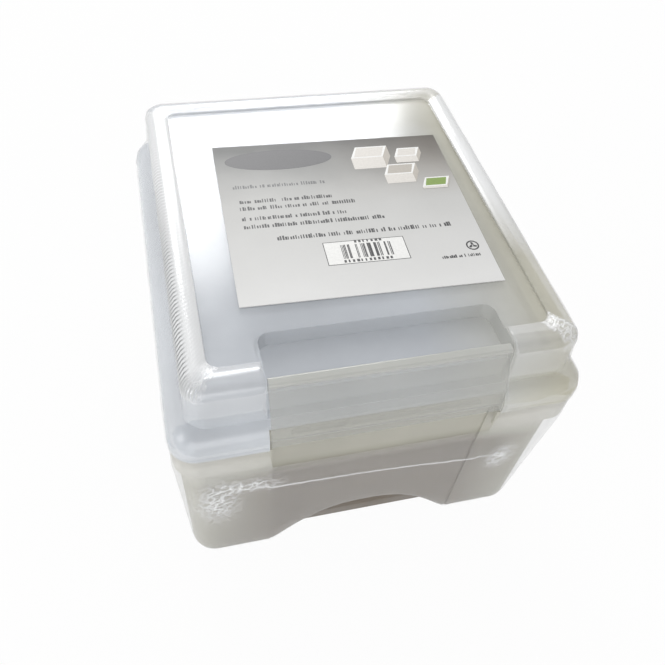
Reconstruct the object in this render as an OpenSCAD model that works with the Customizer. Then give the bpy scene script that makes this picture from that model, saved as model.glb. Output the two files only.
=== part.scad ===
// Keeper case for photographs and small craft parts: a milky box with a clear
// hinged lid, a wide rocker latch at the front and six slim cases inside.
// Origin at the bottom centre, latch towards -Y, hinge towards +Y.

/* [Case] */
// Width of the whole case, side to side
case_w = 185; // [184.5:0.5:200]
// Depth of the whole case, latch face to hinge barrels
case_d = 210; // [208:0.5:230]
// Height of the whole case
case_h = 140; // [136:0.5:160]
// Wall thickness of box and lid
wall = 1.8; // [1.4:0.1:2]
// Radius of the upright corners at the rim
corner_r = 12; // [11:0.5:18]
// Height of the seam where the lid sits on the box
seam_z = 103.6; // [103:0.2:106]
// Gap left at the seam, under the lid's skirt
seam_gap = 0.3; // [0.2:0.05:0.5]

/* [Lid] */
// Height of the lid's skirt, seam to shoulder
skirt_h = 14.4; // [14:0.2:16]
// Rounding of the shoulder above the skirt
shoulder_r = 10.5; // [9:0.5:11.5]
// Set-back of the cap from the skirt at the sides
cap_inset = 8.5; // [6.5:0.1:8.6]
// Set-back of the cap from the skirt at the latch side
cap_inset_front = 7.5; // [6.5:0.1:8]
// Set-back of the cap from the skirt at the hinge side
cap_inset_back = 3.85; // [3.6:0.05:5]
// Slope of the cap's walls, over their whole height
cap_draft = 0.9; // [0.4:0.1:1.4]
// Radius of the cap's upright corners
cap_r = 8.5; // [7:0.5:12]
// Rounding of the cap's top edge
cap_round = 4.5; // [3:0.5:6]
// Depth of the stacking panel sunk in the lid's top
panel_sink = 1.4; // [0.8:0.1:1.6]
// Width of the raised border beside the stacking panel
border_side = 10.8; // [8:0.2:16]
// Width of the raised border at the hinge side
border_back = 12; // [9:0.5:16]
// Width of the raised border at the latch side
border_front = 12; // [9:0.2:18]

/* [Latch] */
// Width of the latch plate
latch_w = 102; // [80:1:110]
// Thickness of the latch plate
latch_t = 1.6; // [1.4:0.1:1.8]
// Side gap between latch and lid
latch_gap = 0.7; // [0.5:0.1:1]
// Front-to-back size of the bar along the latch's top
bar_t = 4.6; // [4:0.2:6]
// Radius of the latch's stub pins
latch_pin_r = 1.3; // [1.1:0.05:1.4]
// Running clearance around every stub pin, on the radius
pin_gap = 0.08; // [0.04:0.01:0.1]
// Length of each stub pin
latch_pin_l = 2.4; // [2:0.1:3]
// Depth of the latch's pivot below the lid's top
pivot_down = 6.4; // [6:0.1:6.8]
// Distance of the pivot behind the cap's front edge
pivot_in = 2.4; // [2.1:0.1:2.8]
// Height of the latch's lower edge above the lid's edge
latch_up = 2.25; // [0.5:0.05:2.5]
// How far the latch's nose stands in from the plate
nose_in = 1.05; // [0.9:0.05:1.2]
// Height of the nose
nose_h = 1.8; // [1.4:0.1:2.2]
// Travel left free between nose and catch with the latch resting
catch_gap = 0.36; // [0.3:0.02:0.5]
// Height of the catch ridge
catch_h = 2; // [1.6:0.1:2.4]
// Length of the catch ridge
catch_l = 84; // [60:1:90]

/* [Pocket] */
// Depth of the finger pocket behind the latch
pocket_deep = 8.5; // [8.5:0.5:14]
// Clear opening of the pocket behind the latch bar
pocket_open = 22; // [16:0.5:24]
// Corner radius of the pocket
pocket_r = 5; // [3:0.5:6]

/* [Box] */
// Set-back of the foot from the rim, at each side
foot_in_side = 4.3; // [2.5:0.1:4.9]
// Set-back of the foot from the latch face
foot_in_front = 6.5; // [5:0.1:7]
// Set-back of the foot from the lid's rear face
foot_in_back = 3.2; // [2.5:0.1:3.5]
// How far the side and front walls lean out up to the rim
wall_lean = 1.6; // [0.8:0.1:2.2]
// Corner radius at the foot, latch side
foot_r_front = 12; // [8:0.5:16]
// Corner radius at the foot, hinge side
foot_r_back = 6; // [4:0.5:7]
// Rounding of the bottom edge
foot_round = 2.4; // [1:0.2:3]
// Floor thickness
floor_t = 2; // [1.6:0.1:2.4]
// Height of the turned-down rim below the seam
rim_h = 13.8; // [11:0.2:16]
// Set-back of the rim from the lid's skirt
rim_inset = 0.7; // [0.4:0.1:1]
// Thickness of the turned-down rim
rim_t = 1.5; // [1.2:0.1:1.7]
// Height of the collar that stands inside the lid's skirt
collar_h = 5.6; // [4:0.1:6]
// Height of the neck that carries the catch, behind the latch
neck_h = 8.8; // [8.2:0.1:9.2]
// Gap between collar and skirt
collar_gap = 0.6; // [0.5:0.05:0.8]

/* [Arch] */
// Width of the recess in the front wall at the foot
arch_w = 97; // [80:1:104]
// Height of the recess at the middle
arch_h = 28; // [20:0.5:34]
// Depth of the recess into the box
arch_deep = 8.2; // [7.6:0.2:8.6]

/* [Hinge] */
// Radius of the hinge barrels
barrel_r = 2.5; // [2.3:0.1:2.8]
// Radius of the lid's stub pins
hinge_pin_r = 1.1; // [1:0.05:1.2]
// Length of each lid knuckle
knuckle_l = 16; // [10:1:24]
// Width of each ear on the box
ear_w = 4.5; // [3.5:0.5:6]
// Side gap between knuckle and ear
knuckle_gap = 0.3; // [0.2:0.05:0.5]
// Distance from the centre to each hinge
hinge_x = 56; // [40:1:66]
// Set-back of the lid's rear face from the hinge axis
axis_back = 1; // [0.9:0.1:1.2]
// Height of the hinge axis below the seam
axis_down = 2.6; // [2.4:0.1:3]

/* [Photo cases] */
// Number of slim cases in the row
case_count = 6; // [1:1:6]
// Gap between the slim cases and the box wall, at each side of the foot
side_room = 1.4; // [1:0.1:2]
// Height left free between the slim cases and the lid's roof
head_room = 19.6; // [19:0.2:30]
// Gap between the row of slim cases and the box's rear wall
back_room = 3.8; // [3.4:0.1:4.4]
// Thickness that the cover takes of the slim case
cover_t = 8; // [6:0.5:12]
// Wall thickness of the slim cases
photo_wall = 1.2; // [1:0.1:1.5]
// Corner radius of the slim cases
photo_r = 14; // [12:0.5:16]
// Gap between neighbouring slim cases and around the row
row_gap = 0.2; // [0.15:0.05:0.3]
// Width of the thumb notch in the top edge of each tray
thumb_w = 24; // [16:1:40]
// Depth of the thumb notch
thumb_d = 3; // [2:0.5:5]

/* [Packing card] */
// Width of the card
card_w = 119; // [80:1:130]
// Depth of the card
card_d = 110; // [60:1:112]
// Thickness of the card
card_t = 0.4; // [0.3:0.1:0.6]
// Sideways place of the card's middle
card_x = 4.8; // [-8:0.2:8]
// Front-to-back place of the card's middle
card_y = -2.2; // [-6:0.2:10]
// Turn of the card on the lid, in degrees
card_turn = -1.5; // [-3:0.5:3]

/* [Hidden] */
$fn = 64;
eps = 0.01;
corner_steps = 32;
round_steps = 5;

// Outline of the rim, shared by lid and box
front_y = -case_d / 2;
axis_y = case_d / 2 - barrel_r;
axis_z = seam_z - axis_down;
lid_back = axis_y - axis_back;
lid_z = seam_z + seam_gap / 2;
box_z = seam_z - seam_gap / 2;
shoulder_z = seam_z + skirt_h;
roof_z = case_h - panel_sink;
cap_front = front_y + cap_inset_front;

// Small set-backs and clearances of lid, latch and catch
cap_tuck = 5;
bar_set = 0.25;
bar_drop = 1.9;
bar_round = 1.2;
swing_gap = 1.3;
bend_in = 1.4;
bend_up = 1.5;
nose_gap = 0.45;
catch_out = 1.4;
neck_gap = 0.3;

// Latch opening in the lid
open_w = latch_w + 2 * latch_gap;
pivot_y = cap_front + pivot_in;
pivot_z = case_h - pivot_down;
pocket_z = roof_z - pocket_deep;
bar_front = cap_front + bar_set;
bar_back = bar_front + bar_t;
bar_bottom = pivot_z - bar_drop;
pocket_back = bar_back + pocket_open;
recess_y = bar_front + latch_t + swing_gap;
skirt_round = min(shoulder_r, corner_r - 1);
cap_root = shoulder_z - cap_tuck;
latch_bottom = lid_z + latch_up;
bend_y = front_y + bend_in;
bend_z = shoulder_z + bend_up;

// Catch under the latch
nose_tip = front_y + latch_t + nose_in;
catch_tip = nose_tip + catch_gap;
catch_bottom = latch_bottom + nose_h + nose_gap;
neck_front = catch_tip + catch_out;
shoulder_front = neck_front - neck_gap;

// Box wall, floor and rim
foot_half_w = case_w / 2 - foot_in_side;
foot_front = case_d / 2 - foot_in_front;
foot_back = lid_back - foot_in_back;
rim_z = seam_z - rim_h;
rim_top_t = 1.6;
rim_back = lid_back - rim_inset;
rim_root = 0.3;
top_back = rim_back - rim_t + rim_root;
top_in_front = 1.2;
top_in_back = 4;
top_r_front = corner_r - top_in_front;
top_r_back = corner_r - top_in_back;
collar_out = wall + collar_gap;
notch_w = latch_w - 1;
notch_r = 5;
notch_skin = 0.6;
notch_y = neck_front - notch_skin;
panel_more = 2;
panel_w = arch_w + panel_more;
panel_in = 1.1;
ear_web = 9;

// Row of slim cases
recess_back = -foot_front + arch_deep;
row_front = recess_back + wall + row_gap;
row_z = floor_t + row_gap;
photo_w = 2 * (foot_half_w - wall - side_room);
photo_h = roof_z - wall - head_room - row_z;
row_back = foot_back - wall - back_room;
photo_t = (row_back - row_front + row_gap) / case_count - row_gap;
lip_h = 3;
lip_gap = 0.25;
lip_t = 0.9;

function lean(z) = wall_lean * z / seam_z;
function mix(a, b, z) = a + (b - a) * z / seam_z;
function bell(x, half_w, h) = h * pow(max(0, 1 - pow(abs(x) / half_w, 2.5)), 1.25);

// Rounded outline with its own corner radii at the front and the back
module outline(half_w, y0, y1, r0, r1) {
    translate([-half_w, y0 + r0]) square([2 * half_w, y1 - r1 - y0 - r0]);
    translate([r0 - half_w, y0]) square([2 * (half_w - r0), r0 + eps]);
    translate([r1 - half_w, y1 - r1 - eps]) square([2 * (half_w - r1), r1 + eps]);
    for (s = [-1, 1]) {
        translate([s * (half_w - r0), y0 + r0]) circle(r0);
        translate([s * (half_w - r1), y1 - r1]) circle(r1);
    }
}

// The rim's outline, set in by a distance
module rim(inset) {
    r = max(1, corner_r - inset);
    outline(case_w / 2 - inset, front_y + inset, lid_back - inset, r, r);
}

// The box wall's outline at a height, set in by a distance
module box_outline(z, inset) {
    r0 = max(1, mix(foot_r_front, top_r_front, z) - inset);
    r1 = max(1, mix(foot_r_back, top_r_back, z) - inset);
    back = mix(foot_back, top_back, z);
    half_w = foot_half_w + lean(z) - inset;
    outline(half_w, -foot_front - lean(z) + inset, back - inset, r0, r1);
}

module at_height(z) {
    translate([0, 0, z]) linear_extrude(eps) children();
}

// Section of a moulded wall, from its corner's centre outwards, with a round top edge
module wall_section(reach, z0, z1, r, draft) {
    polygon([[0, z0], [reach + draft, z0], [reach, z1 - r], [reach - r, z1], [0, z1]]);
    translate([reach - r, z1 - r]) intersection() {
        circle(r);
        square(r);
    }
}

// Solid form with upright round corners, a round top edge and drafted walls
module moulded(half_w, y0, y1, corner, z0, z1, r, draft) {
    cx = half_w - corner;
    c0 = y0 + corner;
    c1 = y1 - corner;
    for (q = [[cx, c1, 0], [-cx, c1, 90], [-cx, c0, 180], [cx, c0, 270]])
        translate([q.x, q.y, 0]) rotate([0, 0, q.z])
            rotate_extrude(angle = 90) wall_section(corner, z0, z1, r, draft);
    for (s = [0, 1]) mirror([s, 0, 0])
        translate([cx, c1, 0]) rotate([90, 0, 0])
            linear_extrude(c1 - c0) wall_section(corner, z0, z1, r, draft);
    translate([-cx, c1, 0]) rotate([90, 0, 90])
        linear_extrude(2 * cx) wall_section(corner, z0, z1, r, draft);
    translate([cx, c0, 0]) rotate([90, 0, -90])
        linear_extrude(2 * cx) wall_section(corner, z0, z1, r, draft);
    translate([-cx, c0, z0]) cube([2 * cx, c1 - c0, z1 - z0]);
}

module skirt_shape(inset) {
    moulded(case_w / 2 - inset, front_y + inset, lid_back - inset, corner_r - inset,
            lid_z - inset, shoulder_z - inset, skirt_round - inset, 0);
}

module cap_shape(inset) {
    moulded(case_w / 2 - cap_inset - inset, cap_front + inset,
            lid_back - cap_inset_back - inset, cap_r - inset,
            cap_root, case_h - inset, cap_round - inset, cap_draft);
}

// Block between two corners
module block(a, b) {
    translate(a) cube(b - a);
}

// Round bar along X, centred on a point
module bar_x(x, y, z, r, l) {
    translate([x - l / 2, y, z]) rotate([0, 90, 0]) cylinder(r = r, h = l);
}

module panel_area(grow) {
    half_w = case_w / 2 - cap_inset - border_side + grow;
    y0 = cap_front + border_front - grow;
    y1 = lid_back - cap_inset_back - border_back + grow;
    outline(half_w, y0, y1, pocket_r + grow, pocket_r + grow);
}

// Finger pocket, open to the front where the latch closes it
module pocket_area(grow) {
    half_w = open_w / 2 + grow;
    outline(half_w, 2 * front_y, pocket_back + grow, pocket_r, pocket_r + grow);
}

module lid_walls() {
    difference() {
        union() {
            skirt_shape(0);
            cap_shape(0);
        }
        difference() {
            union() {
                skirt_shape(wall);
                cap_shape(wall);
            }
            translate([0, 0, roof_z - wall]) linear_extrude(wall + panel_sink) panel_area(wall);
            translate([0, 0, pocket_z - wall]) linear_extrude(case_h) pocket_area(wall);
            block([-open_w / 2 - wall, 2 * front_y, shoulder_z - wall],
                  [open_w / 2 + wall, recess_y + wall, case_h]);
        }
        translate([0, 0, roof_z]) linear_extrude(case_h) panel_area(0);
        translate([0, 0, pocket_z]) linear_extrude(case_h) pocket_area(0);
        block([-open_w / 2, 2 * front_y, 0], [open_w / 2, shoulder_front, case_h + 1]);
        block([-open_w / 2, 2 * front_y, shoulder_z], [open_w / 2, recess_y, case_h + 1]);
    }
}

module knuckle(x) {
    bar_x(x, axis_y, axis_z, barrel_r, knuckle_l);
    bar_x(x, axis_y, axis_z, hinge_pin_r, knuckle_l + 2 * (knuckle_gap + ear_w - 0.3));
    block([x - knuckle_l / 2, lid_back - 0.6, axis_z],
          [x + knuckle_l / 2, axis_y + 0.6, lid_z + 1.5]);
}

module lid() {
    color([0.86, 0.88, 0.91, 0.45]) {
        difference() {
            lid_walls();
            bar_x(0, pivot_y, pivot_z, latch_pin_r + pin_gap, open_w + 4 * wall);
        }
        for (s = [-1, 1]) knuckle(s * hinge_x);
    }
}

// Section of the latch across its width
module latch_section() {
    outer = [[bar_front, pivot_z], [bend_y, bend_z], [front_y, latch_bottom]];
    inner = [[front_y + latch_t, latch_bottom], [bend_y + latch_t, bend_z - 0.5],
             [bar_front + 2.2, bar_bottom]];
    polygon(concat(outer, inner));
    polygon([[front_y + 0.5, latch_bottom], [nose_tip, latch_bottom],
             [nose_tip, latch_bottom + nose_h - 0.4],
             [front_y + latch_t, latch_bottom + nose_h],
             [front_y + 0.5, latch_bottom + nose_h]]);
    translate([(bar_front + bar_back) / 2, 0])
        outline(bar_t / 2, bar_bottom, case_h - 1.2, bar_round, bar_round);
}

// Extrude a section drawn in Y and Z along X, centred
module along_x(l) {
    translate([-l / 2, 0, 0]) rotate([90, 0, 90]) linear_extrude(l) children();
}

// Extrude an outline drawn in X and Z along Y
module along_y(y0, y1) {
    translate([0, y1, 0]) rotate([90, 0, 0]) linear_extrude(y1 - y0) children();
}

module front_latch() {
    color([0.80, 0.81, 0.80, 0.6]) {
        along_x(latch_w) latch_section();
        bar_x(0, pivot_y, pivot_z, latch_pin_r, latch_w + 2 * latch_pin_l);
    }
}

// Bell-shaped recess in the front wall
module arch(grow) {
    half_w = arch_w / 2 + 1.3 * grow;
    steps = 28;
    polygon(concat(
        [[-half_w, -1]],
        [for (i = [0:steps]) let (x = -half_w + 2 * half_w * i / steps)
            [x, bell(x, half_w, arch_h + grow)]],
        [[half_w, -1]]
    ));
}

module box_outer() {
    hull() {
        for (a = [0:90 / round_steps:90])
            at_height(foot_round * (1 - cos(a)))
                box_outline(0, foot_round * (1 - sin(a)), $fn = corner_steps);
        at_height(box_z - eps) box_outline(seam_z, 0, $fn = corner_steps);
    }
}

module box_inner() {
    hull() {
        at_height(floor_t) box_outline(floor_t, wall, $fn = corner_steps);
        at_height(seam_z + 1) box_outline(seam_z, wall, $fn = corner_steps);
    }
}

// Slanted slab that follows the front wall, a depth inside its face
module front_slab(depth, w, z0) {
    hull() {
        for (z = [z0, seam_z])
            translate([-w / 2, 2 * front_y, z])
                cube([w, -2 * front_y - foot_front - lean(z) + depth, eps]);
    }
}

module rim_walls() {
    translate([0, 0, box_z - rim_top_t]) linear_extrude(rim_top_t) rim(rim_inset);
    translate([0, 0, rim_z]) linear_extrude(rim_h - seam_gap) difference() {
        rim(rim_inset);
        rim(rim_inset + rim_t);
    }
}

module collar() {
    link = open_w / 2 + wall;
    neck_back = neck_front + wall;
    root = box_z - rim_top_t;
    difference() {
        translate([0, 0, root]) linear_extrude(collar_h + rim_top_t) difference() {
            rim(collar_out);
            rim(collar_out + wall);
        }
        block([-open_w / 2, 2 * front_y, 0], [open_w / 2, neck_front, case_h]);
    }
    block([-link, neck_front, root], [link, neck_back, box_z + neck_h]);
    for (s = [-1, 1])
        block([s * (link - wall / 2) - wall / 2, front_y + collar_out, root],
              [s * (link - wall / 2) + wall / 2, neck_back, box_z + collar_h - eps]);
}

module catch() {
    along_x(catch_l) polygon([
        [neck_front + 0.5, catch_bottom - 0.4], [neck_front, catch_bottom - 0.4],
        [catch_tip, catch_bottom], [catch_tip, catch_bottom + catch_h - 0.8],
        [neck_front, catch_bottom + catch_h], [neck_front + 0.5, catch_bottom + catch_h]
    ]);
}

// Finger notch under the latch, its lower corners flared
module notch() {
    along_y(2 * front_y, notch_y) {
        translate([-notch_w / 2, rim_z - 1]) square([notch_w, rim_h + 2]);
        for (s = [-1, 1]) translate([s * notch_w / 2, rim_z]) difference() {
            translate([-notch_r, -1]) square([2 * notch_r, notch_r + 1]);
            translate([s * notch_r, notch_r]) circle(notch_r);
        }
    }
}

module ear(x) {
    block([x - ear_w / 2, rim_back - rim_t, axis_z - barrel_r],
          [x + ear_w / 2, axis_y, axis_z + 1.8]);
    bar_x(x, axis_y, axis_z, barrel_r, ear_w);
    translate([x, 0, 0]) along_x(ear_w) polygon([
        [rim_back - 0.5, axis_z - ear_web], [rim_back - 0.5, axis_z],
        [axis_y + barrel_r, axis_z], [axis_y + barrel_r, axis_z - 0.8]
    ]);
}

module box() {
    color([0.80, 0.79, 0.76, 0.7]) {
        difference() {
            union() {
                difference() {
                    union() {
                        box_outer();
                        rim_walls();
                    }
                    difference() {
                        box_inner();
                        along_y(2 * front_y, recess_back + wall) arch(wall);
                        front_slab(panel_in + wall, panel_w + 2 * wall, 0);
                    }
                    front_slab(panel_in, panel_w, -1);
                    along_y(2 * front_y, recess_back) arch(0);
                }
                collar();
                catch();
                for (s = [-1, 1], t = [-1, 1])
                    ear(s * hinge_x + t * (knuckle_l + ear_w + 2 * knuckle_gap) / 2);
            }
            notch();
            for (s = [-1, 1]) {
                bar_x(s * hinge_x, axis_y, axis_z, barrel_r + 0.6, knuckle_l + 2 * knuckle_gap);
                bar_x(s * hinge_x, axis_y, axis_z, hinge_pin_r + pin_gap,
                      knuckle_l + 2 * knuckle_gap + 2 * ear_w + 1);
            }
        }
    }
}

// Face of a slim case standing on its long edge
module photo_face(inset) {
    r = max(1, photo_r - inset);
    translate([0, row_z]) outline(photo_w / 2 - inset, inset, photo_h - inset, r, r);
}

function case_y(i) = row_front + (i - 1) * (photo_t + row_gap);

module photo_tray(i) {
    y0 = case_y(i) + cover_t + 0.1;
    y1 = case_y(i) + photo_t;
    color([0.78, 0.80, 0.84, 0.5]) difference() {
        along_y(y0, y1) photo_face(0);
        along_y(y0 - 1, y1 - photo_wall) photo_face(photo_wall);
        block([-thumb_w / 2, y0 - 1, row_z + photo_h - photo_wall - eps],
              [thumb_w / 2, y0 + thumb_d, row_z + photo_h + 1]);
    }
}

module photo_cover(i) {
    y0 = case_y(i);
    y1 = y0 + cover_t;
    lip_out = photo_wall + lip_gap;
    color([0.84, 0.86, 0.90, 0.45]) {
        difference() {
            along_y(y0, y1) photo_face(0);
            along_y(y0 + photo_wall, y1 + 1) photo_face(photo_wall);
        }
        along_y(y1 - lip_h, y1) difference() {
            photo_face(photo_wall - 0.3);
            photo_face(lip_out + lip_t);
        }
        along_y(y1 - lip_h, y1 + lip_h) difference() {
            photo_face(lip_out);
            photo_face(lip_out + lip_t);
        }
    }
}

module packing_card() {
    color([0.80, 0.80, 0.80]) translate([card_x, card_y, roof_z]) rotate([0, 0, card_turn])
        translate([-card_w / 2, -card_d / 2, 0]) cube([card_w, card_d, card_t]);
}

box();
lid();
front_latch();
packing_card();
for (i = [1:case_count])
    photo_tray(i);
for (i = [1:case_count])
    photo_cover(i);
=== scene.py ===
"""Photo keeper case: plastics, card print and shrink film over the part's frame."""

import math

import bmesh
import bpy
import numpy as np
from bpy.props import FloatProperty, FloatVectorProperty, IntProperty, PointerProperty
from mathutils import Matrix, Vector, noise


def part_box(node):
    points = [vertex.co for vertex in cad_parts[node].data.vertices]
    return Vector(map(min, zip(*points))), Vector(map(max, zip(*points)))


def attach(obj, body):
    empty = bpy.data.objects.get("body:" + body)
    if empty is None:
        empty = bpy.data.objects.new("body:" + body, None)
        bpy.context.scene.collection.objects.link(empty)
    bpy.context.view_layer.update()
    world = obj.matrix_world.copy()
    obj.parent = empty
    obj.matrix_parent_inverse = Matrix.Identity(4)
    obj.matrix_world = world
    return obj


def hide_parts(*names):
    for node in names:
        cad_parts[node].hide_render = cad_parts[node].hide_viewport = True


bl_info = {
    "name": "Photo keeper case",
    "version": (1, 0, 0),
    "blender": (4, 5, 0),
    "location": "3D View > Sidebar > Keeper case",
    "description": "Dresses the keeper case with its plastics, card print and shrink film",
    "category": "Add Mesh",
}

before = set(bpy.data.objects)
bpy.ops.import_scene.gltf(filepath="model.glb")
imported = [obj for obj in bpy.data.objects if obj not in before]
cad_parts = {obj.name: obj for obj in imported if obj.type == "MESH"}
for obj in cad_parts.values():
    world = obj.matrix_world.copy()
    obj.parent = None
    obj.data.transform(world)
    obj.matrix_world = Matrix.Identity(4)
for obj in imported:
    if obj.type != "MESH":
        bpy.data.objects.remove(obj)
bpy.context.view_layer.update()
MM = 0.001


def tint(code):
    """Linear colour of a written sRGB code."""
    parts = [int(code[i : i + 2], 16) / 255 for i in (0, 2, 4)]
    return tuple(c / 12.92 if c <= 0.04045 else ((c + 0.055) / 1.055) ** 2.4 for c in parts)


def colour(name, text, code):
    return FloatVectorProperty(
        name=name, description=text, subtype="COLOR", size=3, min=0, max=1, default=tint(code)
    )


def length(name, text, mm):
    return FloatProperty(name=name, description=text, unit="LENGTH", default=mm * MM, min=0)


class KeeperColours(bpy.types.PropertyGroup):
    milky: colour("Milky plastic", "Body colour of the box at its corners", "b4b2a4")
    milky_middle_shade: colour("Milky plastic, middle", "Body colour at the middle", "62533d")
    # Painted shade: the middle colour darkens the box at its middle and low down, where the inner
    # cases shade it, and the rim colour is the paler top of that ramp.
    milky_rim: colour("Milky plastic, rim", "Body colour near the rim", "cfcdc4")
    clear: colour("Clear plastic", "Body colour of the lid", "d9dee5")
    # Painted shade: the lid's right end, on the side away from the window, is coloured darker and
    # warmer.
    clear_right_shade: colour("Clear plastic, right", "Body colour of the lid's right end", "cdc9b4")
    latch: colour("Latch plastic", "Body colour of the latch", "bcbdb8")
    frosted: colour("Frosted plastic", "Body colour of the slim cases", "d4d6da")
    film: colour("Film", "Colour of the shrink film", "f4f5f6")
    # Painted highlight: the edge colour, more opaque than the body, draws the bevelled edges as
    # pale lines.
    edge: colour("Edges", "Colour that shows along moulded edges", "f0f1f1")
    card_dark: colour("Card, back", "Card colour at the hinge side", "6c6d6c")
    card_mid: colour("Card, middle", "Card colour at the middle", "c2c2c0")
    card_pale: colour("Card, front", "Card colour at the latch side", "e1e1e0")
    ink: colour("Ink", "Colour of the printed lines", "3a3a3c")
    badge: colour("Badge", "Colour of the oval badge", "5a5a5c")
    leaf: colour("Picture accent", "Green of the small picture", "7f9a45")


class KeeperPlastics(bpy.types.PropertyGroup):
    lid_body: FloatProperty(
        name="Lid body", description="Opacity of each face of the lid", default=0.36, min=0, max=1
    )
    box_body: FloatProperty(
        name="Box body", description="Opacity of each face of the box", default=0.56, min=0, max=1
    )
    latch_body: FloatProperty(
        name="Latch body", description="Opacity of each latch face", default=0.26, min=0, max=1
    )
    case_body: FloatProperty(
        name="Case body", description="Opacity of each slim case face", default=0.2, min=0, max=1
    )
    edge_w: length("Edge", "Width of the soft break along moulded edges", 0.55)
    smooth: FloatProperty(
        name="Smooth angle", description="Edges flatter than this are shaded smooth",
        subtype="ANGLE", default=math.radians(28)
    )


class KeeperPrint(bpy.types.PropertyGroup):
    pitch: length("Letter pitch", "Distance from stroke to stroke", 1.2)
    lift: length("Ink lift", "Height of the ink over the card", 0.03)
    seed: IntProperty(name="Seed", description="Seed of the letter shapes", default=7)


class KeeperFilm(bpy.types.PropertyGroup):
    stand: length("Stand-off", "Gap between film and plastic", 0.35)
    thick: length("Thickness", "Thickness of the film", 0.12)
    pitch: length("Gather pitch", "Distance from gather to gather", 2.3)
    crumple: length("Crumple", "Depth of the crumpled seal", 0.9)


class KeeperStage(bpy.types.PropertyGroup):
    window: FloatProperty(
        name="Window", description="Power of the window lamp", unit="POWER", default=8.5
    )
    side: FloatProperty(
        name="Side lamp", description="Power of the side lamp", unit="POWER", default=5
    )
    front: FloatProperty(
        name="Front lamp", description="Power of the front lamp", unit="POWER", default=7
    )
    sky: FloatProperty(name="Sky", description="Strength of the sky", default=0.6, min=0)
    lens: FloatProperty(name="Lens", description="Focal length in millimetres", default=38.44)


# Node helpers
def new_material(name, blend=False):
    mat = bpy.data.materials.new(name)
    mat.use_nodes = True
    mat.use_backface_culling = False
    tree = mat.node_tree
    shader = tree.nodes["Principled BSDF"]
    if blend:
        mat.surface_render_method = "BLENDED"
    return mat, tree, shader


def add(tree, kind, **values):
    node = tree.nodes.new(kind)
    for key, value in values.items():
        setattr(node, key, value)
    return node


def noise_field(tree, vector, scale, detail=3.0, rough=0.5):
    node = add(tree, "ShaderNodeTexNoise")
    node.inputs["Scale"].default_value = scale
    node.inputs["Detail"].default_value = detail
    node.inputs["Roughness"].default_value = rough
    tree.links.new(vector, node.inputs["Vector"])
    return node.outputs["Fac"]


def span(tree, value, lo, hi, out_lo, out_hi):
    node = add(tree, "ShaderNodeMapRange")
    for name, number in (
        ("From Min", lo), ("From Max", hi), ("To Min", out_lo), ("To Max", out_hi)
    ):
        node.inputs[name].default_value = number
    tree.links.new(value, node.inputs["Value"])
    return node.outputs["Result"]


def math_node(tree, kind, a, b=None):
    node = add(tree, "ShaderNodeMath", operation=kind)
    for i, item in enumerate((a, b)):
        if item is None:
            continue
        if isinstance(item, (int, float)):
            node.inputs[i].default_value = item
        else:
            tree.links.new(item, node.inputs[i])
    return node.outputs[0]


def moulded_group():
    """Shader group: faint flow marks, haze and orange peel of moulded plastic."""
    if "moulded_surface" in bpy.data.node_groups:
        return bpy.data.node_groups["moulded_surface"]
    group = bpy.data.node_groups.new("moulded_surface", "ShaderNodeTree")
    face = group.interface
    for name, kind, default in (
        ("Vector", "NodeSocketVector", None), ("Colour", "NodeSocketColor", None),
        ("Haze", "NodeSocketFloat", 0.1), ("Roughness", "NodeSocketFloat", 0.2),
        ("Peel", "NodeSocketFloat", 0.1),
    ):
        socket = face.new_socket(name, in_out="INPUT", socket_type=kind)
        if default is not None:
            socket.default_value = default
    for name, kind in (
        ("Colour", "NodeSocketColor"), ("Roughness", "NodeSocketFloat"),
        ("Haze", "NodeSocketFloat"), ("Normal", "NodeSocketVector"),
    ):
        face.new_socket(name, in_out="OUTPUT", socket_type=kind)
    start = add(group, "NodeGroupInput")
    end = add(group, "NodeGroupOutput")
    cloud = noise_field(group, start.outputs["Vector"], 22, 4)
    fine = noise_field(group, start.outputs["Vector"], 420, 2)
    shade = span(group, cloud, 0.3, 0.7, 0.94, 1.04)
    mix = add(group, "ShaderNodeVectorMath", operation="SCALE")
    group.links.new(start.outputs["Colour"], mix.inputs[0])
    group.links.new(shade, mix.inputs["Scale"])
    group.links.new(mix.outputs["Vector"], end.inputs["Colour"])
    spread = math_node(group, "MULTIPLY", start.outputs["Roughness"],
                       span(group, cloud, 0.3, 0.7, 0.8, 1.25))
    group.links.new(spread, end.inputs["Roughness"])
    haze = math_node(group, "MULTIPLY", start.outputs["Haze"],
                     span(group, cloud, 0.25, 0.75, 0.6, 1.4))
    group.links.new(haze, end.inputs["Haze"])
    bump = add(group, "ShaderNodeBump")
    bump.inputs["Distance"].default_value = 0.0002
    group.links.new(start.outputs["Peel"], bump.inputs["Strength"])
    group.links.new(math_node(group, "ADD", fine, math_node(group, "MULTIPLY", cloud, 2.0)),
                    bump.inputs["Height"])
    group.links.new(bump.outputs["Normal"], end.inputs["Normal"])
    return group


def link_alpha(tree, shader, alpha):
    """Opacity for the eye; light scatters on through the wall, so its shadow is faint."""
    path = add(tree, "ShaderNodeLightPath")
    hidden = math_node(tree, "MAXIMUM", path.outputs["Is Shadow Ray"],
                       path.outputs["Is Diffuse Ray"])
    share = math_node(tree, "SUBTRACT", 1.0, math_node(tree, "MULTIPLY", hidden, 0.72))
    clamp = add(tree, "ShaderNodeClamp")
    tree.links.new(math_node(tree, "MULTIPLY", alpha, share), clamp.inputs["Value"])
    tree.links.new(clamp.outputs["Result"], shader.inputs["Alpha"])


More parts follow.
